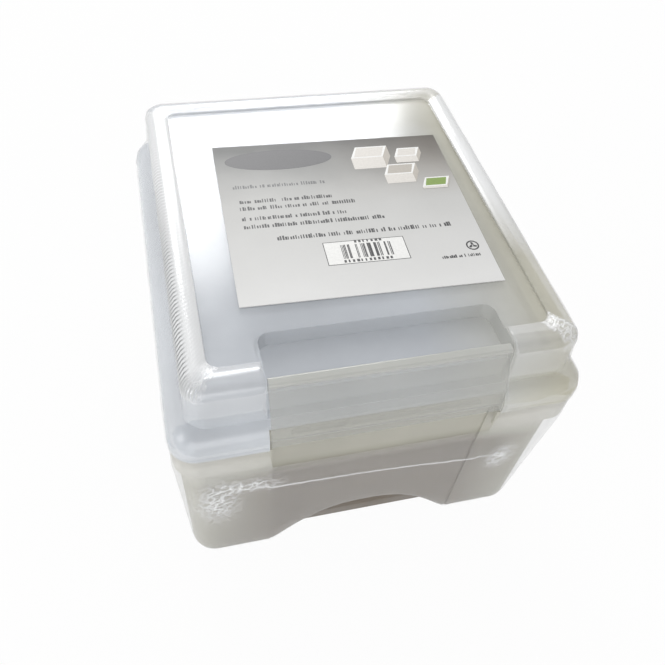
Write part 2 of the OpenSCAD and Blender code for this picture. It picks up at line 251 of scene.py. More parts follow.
def plastic(name, base, body, rough, peel, haze, edge, middle=None, low_haze=0.0, crest_highlight=0.0,
            warm=None):
    """See-through moulded plastic.

    body is the opacity of a face seen square on, haze and edge add to it in clouds and at
    glancing angles, low_haze below the shoulder and crest along the top of the latch's bar,
    where it is a painted highlight. middle holds the colours of a painted shade at the box's
    middle and rim: darker at the middle and low down, paler toward the corners and the rim.
    warm is a painted shade, a darker and warmer colour at the right end.
    """
    mat, tree, shader = new_material(name, blend=True)
    coords = add(tree, "ShaderNodeTexCoord")
    axes = add(tree, "ShaderNodeSeparateXYZ")
    tree.links.new(coords.outputs["Object"], axes.inputs[0])
    group = add(tree, "ShaderNodeGroup", node_tree=moulded_group())
    tree.links.new(coords.outputs["Object"], group.inputs["Vector"])
    # Painted shade: warm darkens and warms the right end; middle darkens the box at its middle
    # (aside) and low down (high), paler toward the corners and the rim.
    if warm or middle:
        ramp = add(tree, "ShaderNodeValToRGB")
        stops = ramp.color_ramp.elements
        stops[0].color = (*(base if warm else middle[0]), 1)
        stops[1].color = (*(warm or middle[1]), 1)
        if warm:
            drift = span(tree, axes.outputs["X"], 0.02, 0.085, 0, 1)
        else:
            stops.new(0.5).color = (*base, 1)
            off_middle = math_node(tree, "ABSOLUTE", axes.outputs["X"])
            aside = math_node(tree, "MULTIPLY", span(tree, off_middle, 0.045, 0.09, 0, 1), 0.5)
            high = span(tree, axes.outputs["Z"], 0.07, 0.084, 0, 0.66)
            drift = math_node(tree, "ADD", aside, high)
        tree.links.new(drift, ramp.inputs["Fac"])
        tree.links.new(ramp.outputs["Color"], group.inputs["Colour"])
    else:
        group.inputs["Colour"].default_value = (*base, 1)
    group.inputs["Roughness"].default_value = rough
    group.inputs["Peel"].default_value = peel
    group.inputs["Haze"].default_value = haze
    tree.links.new(group.outputs["Colour"], shader.inputs["Base Color"])
    tree.links.new(group.outputs["Roughness"], shader.inputs["Roughness"])
    tree.links.new(group.outputs["Normal"], shader.inputs["Normal"])
    facing = add(tree, "ShaderNodeLayerWeight")
    facing.inputs["Blend"].default_value = 0.35
    rim = math_node(tree, "MULTIPLY", facing.outputs["Facing"], edge)
    alpha = math_node(tree, "ADD", math_node(tree, "ADD", rim, body), group.outputs["Haze"])
    if low_haze:
        alpha = math_node(tree, "ADD", alpha,
                          span(tree, axes.outputs["Z"], 0.114, 0.126, low_haze, 0))
    # Painted highlight: crest raises the opacity of the pale body along the top of the latch's bar.
    if crest_highlight:
        alpha = math_node(tree, "ADD", alpha,
                          span(tree, axes.outputs["Z"], crest_highlight - 0.0012, crest_highlight, 0, 0.6))
    link_alpha(tree, shader, alpha)
    shader.inputs["IOR"].default_value = 1.49
    shader.inputs["Specular IOR Level"].default_value = 0.8
    return mat


def flat_ink(name, base, rough=0.45):
    """Printed ink with a little uneven coverage."""
    mat, tree, shader = new_material(name)
    coords = add(tree, "ShaderNodeTexCoord")
    grain = noise_field(tree, coords.outputs["Object"], 900, 2)
    mix = add(tree, "ShaderNodeVectorMath", operation="SCALE")
    mix.inputs[0].default_value = base
    tree.links.new(span(tree, grain, 0.3, 0.7, 0.95, 1.04), mix.inputs["Scale"])
    tree.links.new(mix.outputs["Vector"], shader.inputs["Base Color"])
    shader.inputs["Roughness"].default_value = rough
    return mat


# Mesh helpers
def smooth_by_angle(mesh, angle):
    """Shade smooth, with edges steeper than the angle kept sharp."""
    work = bmesh.new()
    work.from_mesh(mesh)
    for face in work.faces:
        face.smooth = True
    for edge in work.edges:
        edge.smooth = not (len(edge.link_faces) == 2 and edge.calc_face_angle() > angle)
    work.to_mesh(mesh)
    work.free()


def place(obj, body, node=None):
    if obj.name not in bpy.context.scene.collection.objects:
        bpy.context.scene.collection.objects.link(obj)
    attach(obj, body)
    if node:
        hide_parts(node)
    return obj


def dressed_copy(node, name, body, materials, look):
    """A merged copy of a CAD node with soft edges, painted paler as highlights, that stands for it.
    """
    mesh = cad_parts[node].data.copy()
    mesh.name = name
    work = bmesh.new()
    work.from_mesh(mesh)
    bmesh.ops.remove_doubles(work, verts=work.verts, dist=2e-6)
    work.to_mesh(mesh)
    work.free()
    smooth_by_angle(mesh, look.smooth)
    mesh.materials.clear()
    for material in materials:
        mesh.materials.append(material)
    obj = bpy.data.objects.new(name, mesh)
    bpy.context.scene.collection.objects.link(obj)
    soft = obj.modifiers.new("soft_edges", "BEVEL")
    soft.width = look.edge_w
    soft.segments = 2
    soft.limit_method = "ANGLE"
    soft.angle_limit = math.radians(35)
    # The bevel faces take the edge material: painted highlights along the edges.
    soft.material = 1
    soft.harden_normals = True
    weight = obj.modifiers.new("weighted", "WEIGHTED_NORMAL")
    weight.keep_sharp = True
    weight.weight = 90
    settle(obj)
    return place(obj, body, node)


def settle(obj):
    """Turn the evaluated object into its own plain mesh."""
    graph = bpy.context.evaluated_depsgraph_get()
    graph.update()
    mesh = bpy.data.meshes.new_from_object(obj.evaluated_get(graph))
    mesh.name = obj.name
    obj.modifiers.clear()
    obj.data = mesh
    return mesh


def joined(name, parts, materials):
    """One object from (mesh, matrix, slot) parts."""
    work = bmesh.new()
    for mesh, matrix, slot in parts:
        part = mesh.copy()
        part.transform(matrix)
        for poly in part.polygons:
            poly.material_index = slot
        work.from_mesh(part)
        bpy.data.meshes.remove(part)
    mesh = bpy.data.meshes.new(name)
    work.to_mesh(mesh)
    work.free()
    for material in materials:
        mesh.materials.append(material)
    return bpy.data.objects.new(name, mesh)


def prism(points, height):
    """Closed plate over a flat outline that runs counterclockwise."""
    n = len(points)
    verts = [(x, y, z) for z in (0, height) for x, y in points]
    faces = [list(range(n))[::-1], list(range(n, 2 * n))]
    faces += [[i, (i + 1) % n, n + (i + 1) % n, n + i] for i in range(n)]
    mesh = bpy.data.meshes.new("plate")
    mesh.from_pydata(verts, [], faces)
    return mesh


def ellipse(half_w, half_h, steps=48):
    turns = [2 * math.pi * i / steps for i in range(steps)]
    return [(half_w * math.cos(a), half_h * math.sin(a)) for a in turns]


def ring_plate(outer, inner, height):
    """Closed flat ring between two outlines with the same number of points."""
    n = len(outer)
    rows = [outer, inner]
    verts = [(x, y, z) for z in (0, height) for row in rows for x, y in row]
    faces = []
    for i in range(n):
        j = (i + 1) % n
        faces += [[i, n + i, n + j, j], [2 * n + i, 2 * n + j, 3 * n + j, 3 * n + i]]
        faces += [[i, j, 2 * n + j, 2 * n + i], [n + j, n + i, 3 * n + i, 3 * n + j]]
    mesh = bpy.data.meshes.new("ring")
    mesh.from_pydata(verts, [], faces)
    return mesh


# Geometry nodes
def block_row_tree():
    """Row of small upright blocks of changing width and height, with word gaps."""
    if "block_row" in bpy.data.node_groups:
        return bpy.data.node_groups["block_row"]
    tree = bpy.data.node_groups.new("block_row", "GeometryNodeTree")
    face = tree.interface
    face.new_socket("Geometry", in_out="INPUT", socket_type="NodeSocketGeometry")
    for name, kind, default in (
        ("Count", "NodeSocketInt", 10), ("Pitch", "NodeSocketFloat", 0.002),
        ("Height", "NodeSocketFloat", 0.003), ("Low", "NodeSocketFloat", 0.6),
        ("Narrow", "NodeSocketFloat", 0.3), ("Wide", "NodeSocketFloat", 0.8),
        ("Gap chance", "NodeSocketFloat", 0.15), ("Lift", "NodeSocketFloat", 0.00003),
        ("Seed", "NodeSocketInt", 1), ("Material", "NodeSocketMaterial", None),
    ):
        socket = face.new_socket(name, in_out="INPUT", socket_type=kind)
        if default is not None:
            socket.default_value = default
    face.new_socket("Geometry", in_out="OUTPUT", socket_type="NodeSocketGeometry")
    link = tree.links.new
    start = add(tree, "NodeGroupInput")
    end = add(tree, "NodeGroupOutput")
    step = add(tree, "ShaderNodeCombineXYZ")
    link(start.outputs["Pitch"], step.inputs["X"])
    line = add(tree, "GeometryNodeMeshLine")
    link(start.outputs["Count"], line.inputs["Count"])
    link(step.outputs[0], line.inputs["Offset"])

    def chance(lo, hi, shift):
        node = add(tree, "FunctionNodeRandomValue", data_type="FLOAT")
        for socket, value in ((node.inputs[2], lo), (node.inputs[3], hi)):
            if isinstance(value, (int, float)):
                socket.default_value = value
            else:
                link(value, socket)
        seed = add(tree, "ShaderNodeMath", operation="ADD")
        link(start.outputs["Seed"], seed.inputs[0])
        seed.inputs[1].default_value = shift
        link(seed.outputs[0], node.inputs["Seed"])
        return node.outputs[1]

    gap = add(tree, "FunctionNodeCompare", data_type="FLOAT", operation="LESS_THAN")
    link(chance(0, 1, 11), gap.inputs[0])
    link(start.outputs["Gap chance"], gap.inputs[1])
    keep = add(tree, "GeometryNodeDeleteGeometry", domain="POINT")
    link(line.outputs["Mesh"], keep.inputs["Geometry"])
    link(gap.outputs[0], keep.inputs["Selection"])
    cube = add(tree, "GeometryNodeMeshCube")
    stood = add(tree, "GeometryNodeTransform")
    stood.inputs["Translation"].default_value = (0.5, 0.5, 0.5)
    link(cube.outputs["Mesh"], stood.inputs["Geometry"])
    tall = add(tree, "ShaderNodeMath", operation="MULTIPLY")
    link(chance(start.outputs["Low"], 1, 23), tall.inputs[0])
    link(start.outputs["Height"], tall.inputs[1])
    broad = add(tree, "ShaderNodeMath", operation="MULTIPLY")
    link(chance(start.outputs["Narrow"], start.outputs["Wide"], 37), broad.inputs[0])
    link(start.outputs["Pitch"], broad.inputs[1])
    size = add(tree, "ShaderNodeCombineXYZ")
    link(broad.outputs[0], size.inputs["X"])
    link(tall.outputs[0], size.inputs["Y"])
    link(start.outputs["Lift"], size.inputs["Z"])
    copies = add(tree, "GeometryNodeInstanceOnPoints")
    link(keep.outputs["Geometry"], copies.inputs["Points"])
    link(stood.outputs["Geometry"], copies.inputs["Instance"])
    link(size.outputs[0], copies.inputs["Scale"])
    real = add(tree, "GeometryNodeRealizeInstances")
    link(copies.outputs["Instances"], real.inputs["Geometry"])
    paint = add(tree, "GeometryNodeSetMaterial")
    link(real.outputs["Geometry"], paint.inputs["Geometry"])
    link(start.outputs["Material"], paint.inputs["Material"])
    link(paint.outputs["Geometry"], end.inputs["Geometry"])
    return tree


def grown(tree, **values):
    """Plain mesh that a geometry tree makes from its named inputs."""
    holder = bpy.data.objects.new("grown", bpy.data.meshes.new("grown"))
    bpy.context.scene.collection.objects.link(holder)
    modifier = holder.modifiers.new("grow", "NODES")
    modifier.node_group = tree
    ids = {s.name: s.identifier for s in tree.interface.items_tree if s.in_out == "INPUT"}
    for name, value in values.items():
        modifier[ids[name.replace("_", " ")]] = value
    mesh = settle(holder)
    bpy.data.objects.remove(holder)
    return mesh


# Film surface
# Half-width of the opening that the film leaves at the latch, in millimetres.
FILM_GAP = 52.2
# Welded line across the film's front: height in metres at the middle, and fall per metre.
SEAM_Z = 0.0662
SEAM_FALL = 0.087
# Stations with a lower y than this one lie on the film's front, in millimetres.
FRONT_Y = -80
# Crumpled spots on the film's front, in millimetres: place in x and z, reach of the lumps,
# and half-width and half-height of the creased patch.
CRUMPLES = ((-75, 60, 13, 7, 15), (-62, 74, 9, 11, 4), (65, 57, 8, 5, 8))


def film_columns(open_front):
    """Stations around the case: (part, share), counterclockwise from the front's middle."""
    def shares(part, n):
        return [(part, i / n) for i in range(n)]

    run = shares("front_right", 12) + shares("corner_fr", 12) + shares("right", 90)
    run += shares("corner_br", 10) + shares("back", 60) + shares("corner_bl", 10)
    run += shares("left", 110) + shares("corner_fl", 14) + shares("front_left", 12)
    if open_front:
        return run + [("front_left", 1.0)]
    middle = shares("front", 52)
    return run + middle


def station(part, f, half_w, y0, y1, r0, r1):
    """Point of a rounded outline at a station."""
    c = half_w - r0
    b = half_w - r1
    turn = 0.5 * math.pi * f
    if part == "front_right":
        return FILM_GAP + f * (c - FILM_GAP), y0
    if part == "corner_fr":
        return c + r0 * math.sin(turn), y0 + r0 - r0 * math.cos(turn)
    if part == "right":
        return half_w, y0 + r0 + f * (y1 - r1 - y0 - r0)
    if part == "corner_br":
        return b + r1 * math.cos(turn), y1 - r1 + r1 * math.sin(turn)
    if part == "back":
        return b - 2 * b * f, y1
    if part == "corner_bl":
        return -b - r1 * math.sin(turn), y1 - r1 + r1 * math.cos(turn)
    if part == "left":
        return -half_w, y1 - r1 - f * (y1 - r1 - y0 - r0)
    if part == "corner_fl":
        return -c - r0 * math.cos(turn), y0 + r0 - r0 * math.sin(turn)
    if part == "front_left":
        return -c + f * (c - FILM_GAP), y0
    return -FILM_GAP + 2 * FILM_GAP * f, y0


def film_skin(name, columns, rings, closed, heights, push, weight, material, thick):
    """Thin closed skin through rings of stations, all in millimetres.

    Each ring is (half-width, front, back, front radius, back radius, height). Its marks are
    gather (whitened as a painted reflection of the window), pleat (dark ticks, painted shade
    in the folds) and crumple (fine creases).
    """
    verts, uvs, weights, pleats, crumples = [], [], [], [], []
    n = len(columns)
    base = [station(p, f, *rings[0][:5]) for p, f in columns]
    along = [0.0]
    for a, b in zip(base[:-1], base[1:]):
        along.append(along[-1] + math.dist(a, b))
    up = 0.0
    for k, ring in enumerate(rings):
        if k:
            up += max(0.5, math.dist(
                (ring[0], ring[5]), (rings[k - 1][0], rings[k - 1][5])))
        for i, (part, f) in enumerate(columns):
            x, y = station(part, f, *ring[:5])
            z = heights(ring[5], x, part)
            x, y, z = push(k, x, y, z)
            verts.append((x * MM, y * MM, z * MM))
            uvs.append((along[i] * MM, up * MM))
            white, fold, crumple = weight(k, x, y, z, part, f)
            weights.append(white)
            pleats.append(fold)
            crumples.append(crumple)
    faces = []
    for k in range(len(rings) - 1):
        for i in range(n if closed else n - 1):
            j = (i + 1) % n
            faces.append([k * n + i, k * n + j, (k + 1) * n + j, (k + 1) * n + i])
    mesh = bpy.data.meshes.new(name)
    mesh.from_pydata(verts, [], faces)
    layer = mesh.uv_layers.new(name="film_map")
    for loop in mesh.loops:
        u, v = uvs[loop.vertex_index]
        layer.data[loop.index].uv = (u, v)
    for name_of, values in (("gather", weights), ("pleat", pleats), ("crumple", crumples)):
        mark = mesh.attributes.new(name_of, "FLOAT", "POINT")
        mark.data.foreach_set("value", np.array(values, np.float32))
    obj = bpy.data.objects.new(name, mesh)
    bpy.context.scene.collection.objects.link(obj)
    solid = obj.modifiers.new("thick", "SOLIDIFY")
    solid.thickness = thick
    solid.offset = 1
    settle(obj)
    for poly in obj.data.polygons:
        poly.use_smooth = True
    obj.data.materials.clear()
    obj.data.materials.append(material)
    return obj


def film_material(base, pitch):
    """Clear film: soft sheen, gathers whitened as a painted reflection, pleats darkened as painted
    shade, creases and a welded line.
    """
    mat, tree, shader = new_material("shrink_film", blend=True)
    mapped = add(tree, "ShaderNodeUVMap", uv_map="film_map")
    axes = add(tree, "ShaderNodeSeparateXYZ")
    tree.links.new(mapped.outputs["UV"], axes.inputs[0])
    gather = add(tree, "ShaderNodeAttribute", attribute_name="gather").outputs["Fac"]
    pleat = add(tree, "ShaderNodeAttribute", attribute_name="pleat").outputs["Fac"]
    crumple = add(tree, "ShaderNodeAttribute", attribute_name="crumple").outputs["Fac"]
    coords = add(tree, "ShaderNodeTexCoord")
    sway = noise_field(tree, coords.outputs["Object"], 240, 2)
    slant = math_node(tree, "MULTIPLY", axes.outputs["Y"], 0.22 / pitch)
    turn = math_node(tree, "ADD", math_node(tree, "MULTIPLY", axes.outputs["X"], 1 / pitch), slant)
    turn = math_node(tree, "ADD", turn, math_node(tree, "MULTIPLY", sway, 0.22))
    wave = math_node(tree, "SINE", math_node(tree, "MULTIPLY", turn, 2 * math.pi))
    fold = math_node(tree, "MULTIPLY", span(tree, wave, 0.25, 0.8, 0, 1), pleat)
    creases = noise_field(tree, coords.outputs["Object"], 260, 5, 0.65)
    cells = add(tree, "ShaderNodeTexVoronoi", feature="DISTANCE_TO_EDGE")
    cells.inputs["Scale"].default_value = 270
    shifted = add(tree, "ShaderNodeVectorMath", operation="MULTIPLY_ADD")
    tree.links.new(creases, shifted.inputs[0])
    shifted.inputs[1].default_value = (0.01, 0.01, 0.01)
    tree.links.new(coords.outputs["Object"], shifted.inputs[2])
    tree.links.new(shifted.outputs["Vector"], cells.inputs["Vector"])
    crease = span(tree, cells.outputs["Distance"], 0.0, 0.15, 1, 0)
    facing = add(tree, "ShaderNodeLayerWeight")
    facing.inputs["Blend"].default_value = 0.25
    sheen = math_node(tree, "MULTIPLY", facing.outputs["Fresnel"], 0.24)
    seam = add(tree, "ShaderNodeSeparateXYZ")
    tree.links.new(coords.outputs["Object"], seam.inputs[0])
    tilt = math_node(tree, "MULTIPLY", seam.outputs["X"], SEAM_FALL)
    off = math_node(tree, "ADD", math_node(tree, "ADD", seam.outputs["Z"], tilt), -SEAM_Z)
    off = math_node(tree, "ADD", off, math_node(tree, "MULTIPLY", creases, 0.0012))
    off = math_node(tree, "ABSOLUTE", off)
    line = math_node(tree, "MULTIPLY", span(tree, off, 0.0002, 0.0011, 0.5, 0),
                     span(tree, seam.outputs["Y"], -0.097, -0.095, 1, 0))
    line = math_node(tree, "MULTIPLY", line, span(
        tree, math_node(tree, "ABSOLUTE", seam.outputs["X"]), 0.048, 0.068, 1, 0))
    # white: painted reflection on the gathers, the welded line and the crumples' whitened creases.
    white = math_node(tree, "ADD", math_node(tree, "MULTIPLY", gather, 0.62), line)
    white = math_node(tree, "ADD", white, math_node(
        tree, "MULTIPLY", crumple, span(tree, crease, 0, 1, 0.05, 1.5)))
    link_alpha(tree, shader, math_node(tree, "ADD", math_node(tree, "ADD", sheen, white), fold))
    # Painted shade: the pleats darken the film toward near black.
    shade = add(tree, "ShaderNodeValToRGB")
    shade.color_ramp.elements[0].color = (*base, 1)
    shade.color_ramp.elements[1].color = (0.13, 0.14, 0.14, 1)
    tree.links.new(fold, shade.inputs["Fac"])
    tree.links.new(shade.outputs["Color"], shader.inputs["Base Color"])
    tree.links.new(span(tree, gather, 0, 0.5, 0.35, 0.02), shader.inputs["Metallic"])
    tree.links.new(span(tree, fold, 0, 1, 0.2, 0.75), shader.inputs["Roughness"])
    bump = add(tree, "ShaderNodeBump")
    bump.inputs["Distance"].default_value = 0.0004
    bump.inputs["Strength"].default_value = 0.5
    rough = math_node(tree, "MULTIPLY", math_node(tree, "ADD", crease, creases), crumple)
    tree.links.new(math_node(tree, "ADD", fold, rough), bump.inputs["Height"])
    tree.links.new(bump.outputs["Normal"], shader.inputs["Normal"])
    return mat


def wobble(x, y, z, scale, size):
    """Smooth repeatable noise around zero."""
    return size * noise.noise(Vector((x, y, z)) * scale)


# Operators
class KEEPER_OT_stage(bpy.types.Operator):
    """Camera, white surroundings, window and side lamp"""

    bl_idname = "keeper.stage"
    bl_label = "Stage"

    def execute(self, context):
        look = context.scene.keeper_stage
        scene = context.scene
        scene.view_settings.view_transform = "Standard"
        az, el, roll = math.radians(-18.85), math.radians(49.97), math.radians(6.99)
        right = Vector((math.cos(az), math.sin(az), 0))
        back = Vector((math.sin(az) * math.cos(el), -math.cos(az) * math.cos(el), math.sin(el)))
        up = back.cross(right)
        c, s = math.cos(roll), math.sin(roll)
        right, up = c * right + s * up, c * up - s * right
        cam = bpy.data.objects.new("camera", bpy.data.cameras.new("camera"))
        cam.data.lens = look.lens
        cam.data.sensor_width = 36
        cam.data.clip_start = 0.01
        turn = Matrix((right, up, back)).transposed()
        cam.matrix_world = Matrix.Translation((-0.0812, -0.2521, 0.3613)) @ turn.to_4x4()
        scene.collection.objects.link(cam)
        scene.camera = cam
        self.sky(scene, look.sky)
        self.floor(scene)
        self.lamp(scene, "window_lamp", (-0.11, 1.15, 1.07), (-0.11, 0, 1.07), 0.38, 0.55,
                  look.window)
        self.lamp(scene, "low_window_lamp", (0.29, 1.15, 0.87), (0.29, 0, 0.87), 0.42, 0.25,
                  0.5 * look.window)
        self.lamp(scene, "side_lamp", (-1.3, -0.5, 0.7), (0, 0, 0.08), 0.7, 0.7, look.side)
        self.lamp(scene, "front_lamp", (-0.4, -1.6, 0.5), (0, 0, 0.08), 1.2, 0.9, look.front)
        return {"FINISHED"}

    def lamp(self, scene, name, spot, aim, w, h, power):
        data = bpy.data.lights.new(name, "AREA")
        data.shape = "RECTANGLE"
        data.size, data.size_y = w, h
        data.energy = power
        obj = bpy.data.objects.new(name, data)
        way = Vector(aim) - Vector(spot)
        turn = way.to_track_quat("-Z", "Y").to_matrix().to_4x4()
        obj.matrix_world = Matrix.Translation(spot) @ turn
        scene.collection.objects.link(obj)

    def seen(self, tree):
        path = add(tree, "ShaderNodeLightPath")
        both = math_node(tree, "MAXIMUM", path.outputs["Is Camera Ray"],
                         path.outputs["Is Transmission Ray"])
        return math_node(tree, "MAXIMUM", both, path.outputs["Is Glossy Ray"])

    def sky(self, scene, strength):
        world = bpy.data.worlds.new("sky")
        world.use_nodes = True
        scene.world = world
        tree = world.node_tree
        tree.nodes.clear()
        coords = add(tree, "ShaderNodeTexCoord")
        axes = add(tree, "ShaderNodeSeparateXYZ")
        tree.links.new(coords.outputs["Generated"], axes.inputs[0])
        ramp = add(tree, "ShaderNodeValToRGB")
        ramp.color_ramp.elements[0].color = (0.50, 0.49, 0.47, 1)
        ramp.color_ramp.elements[1].color = (1.0, 1.0, 1.0, 1)
        tree.links.new(span(tree, axes.outputs["Z"], -0.4, 0.9, 0, 1), ramp.inputs["Fac"])
        light = add(tree, "ShaderNodeBackground")
        light.inputs["Strength"].default_value = strength
        tree.links.new(ramp.outputs["Color"], light.inputs["Color"])
        plain = add(tree, "ShaderNodeBackground")
        plain.inputs["Color"].default_value = (1, 1, 1, 1)
        plain.inputs["Strength"].default_value = 1
        mix = add(tree, "ShaderNodeMixShader")
        tree.links.new(self.seen(tree), mix.inputs["Fac"])
        tree.links.new(light.outputs[0], mix.inputs[1])
        tree.links.new(plain.outputs[0], mix.inputs[2])
        out = add(tree, "ShaderNodeOutputWorld")
        tree.links.new(mix.outputs[0], out.inputs["Surface"])

    def floor(self, scene):
        mesh = bpy.data.meshes.new("floor")
        reach, z = 4.0, -0.0004
        corners = [(-reach, -reach, z), (reach, -reach, z), (reach, reach, z), (-reach, reach, z)]
        mesh.from_pydata(corners, [], [[0, 1, 2, 3]])
        mat = bpy.data.materials.new("floor_white")
        mat.use_nodes = True
        tree = mat.node_tree
        tree.nodes.clear()
        matt = add(tree, "ShaderNodeBsdfDiffuse")
        matt.inputs["Color"].default_value = (0.84, 0.84, 0.83, 1)
        glow = add(tree, "ShaderNodeEmission")
        glow.inputs["Color"].default_value = (1, 1, 1, 1)
        glow.inputs["Strength"].default_value = 1.0
        share = math_node(tree, "MULTIPLY", self.seen(tree), 0.96)
        mix = add(tree, "ShaderNodeMixShader")
        tree.links.new(share, mix.inputs["Fac"])
        tree.links.new(matt.outputs[0], mix.inputs[1])
        tree.links.new(glow.outputs[0], mix.inputs[2])
        out = add(tree, "ShaderNodeOutputMaterial")
        tree.links.new(mix.outputs[0], out.inputs["Surface"])
        mesh.materials.append(mat)
        obj = bpy.data.objects.new("floor", mesh)
        scene.collection.objects.link(obj)


class KEEPER_OT_box(bpy.types.Operator):
    """Milky box with smooth shading"""

    bl_idname = "keeper.box"
    bl_label = "Box"

    def execute(self, context):
        tints, look = context.scene.keeper_colours, context.scene.keeper_plastics
        # The body ramp paints shade at the box's middle and low down; the edge material paints
        # highlights along its edges.
        body = plastic("milky_plastic", tints.milky, look.box_body, 0.34, 0.03, 0.08, 0.3,
                       (tints.milky_middle_shade, tints.milky_rim))
        edge = plastic("milky_edge_highlight", tints.edge, 0.72, 0.3, 0.1, 0.1, 0.2)
        dressed_copy("box", "box_shell", "box", (body, edge), look)
        return {"FINISHED"}


class KEEPER_OT_lid(bpy.types.Operator):
    """Clear lid with smooth shading"""

    bl_idname = "keeper.lid"
    bl_label = "Lid"

    def execute(self, context):
        tints, look = context.scene.keeper_colours, context.scene.keeper_plastics
        # warm paints shade at the lid's right end; the edge material paints highlights along its
        # edges.
        body = plastic("clear_plastic", tints.clear, look.lid_body, 0.16, 0.05, 0.06, 0.3,
                       low_haze=0.2, warm=tints.clear_right_shade)
        edge = plastic("clear_edge_highlight", tints.edge, 0.68, 0.34, 0.05, 0.1, 0.2)
        dressed_copy("lid", "lid_shell", "lid", (body, edge), look)
        return {"FINISHED"}


class KEEPER_OT_latch(bpy.types.Operator):
    """Rocker latch with smooth shading"""

    bl_idname = "keeper.latch"
    bl_label = "Latch"

    def execute(self, context):
        tints, look = context.scene.keeper_colours, context.scene.keeper_plastics
        # crest paints a highlight along the bar's top; the edge material paints highlights along
        # its edges.
        body = plastic("latch_plastic", tints.latch, look.latch_body, 0.16, 0.05, 0.05, 0.35,
                       crest_highlight=0.138)
        edge = plastic("latch_edge_highlight", tints.edge, 0.72, 0.24, 0.05, 0.1, 0.2)
        dressed_copy("front_latch", "latch_plate", "latch", (body, edge), look)
        return {"FINISHED"}


class KEEPER_OT_cases(bpy.types.Operator):
    """Frosted plastic on the slim cases"""

    bl_idname = "keeper.cases"
    bl_label = "Slim cases"

    def execute(self, context):
        tints, look = context.scene.keeper_colours, context.scene.keeper_plastics
        body = plastic("frosted_plastic", tints.frosted, look.case_body, 0.4, 0.1, 0.08, 0.3)
        # The edge material paints highlights along the cases' edges.
        edge = plastic("frosted_edge_highlight", tints.edge, 0.55, 0.3, 0.1, 0.1, 0.2)
        for node in list(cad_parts):
            if node.startswith("photo_"):
                kind, number = node.split("_")[1:]
                dressed_copy(node, f"slim_{kind}_{number}", f"case_{number}", (body, edge), look)
        return {"FINISHED"}


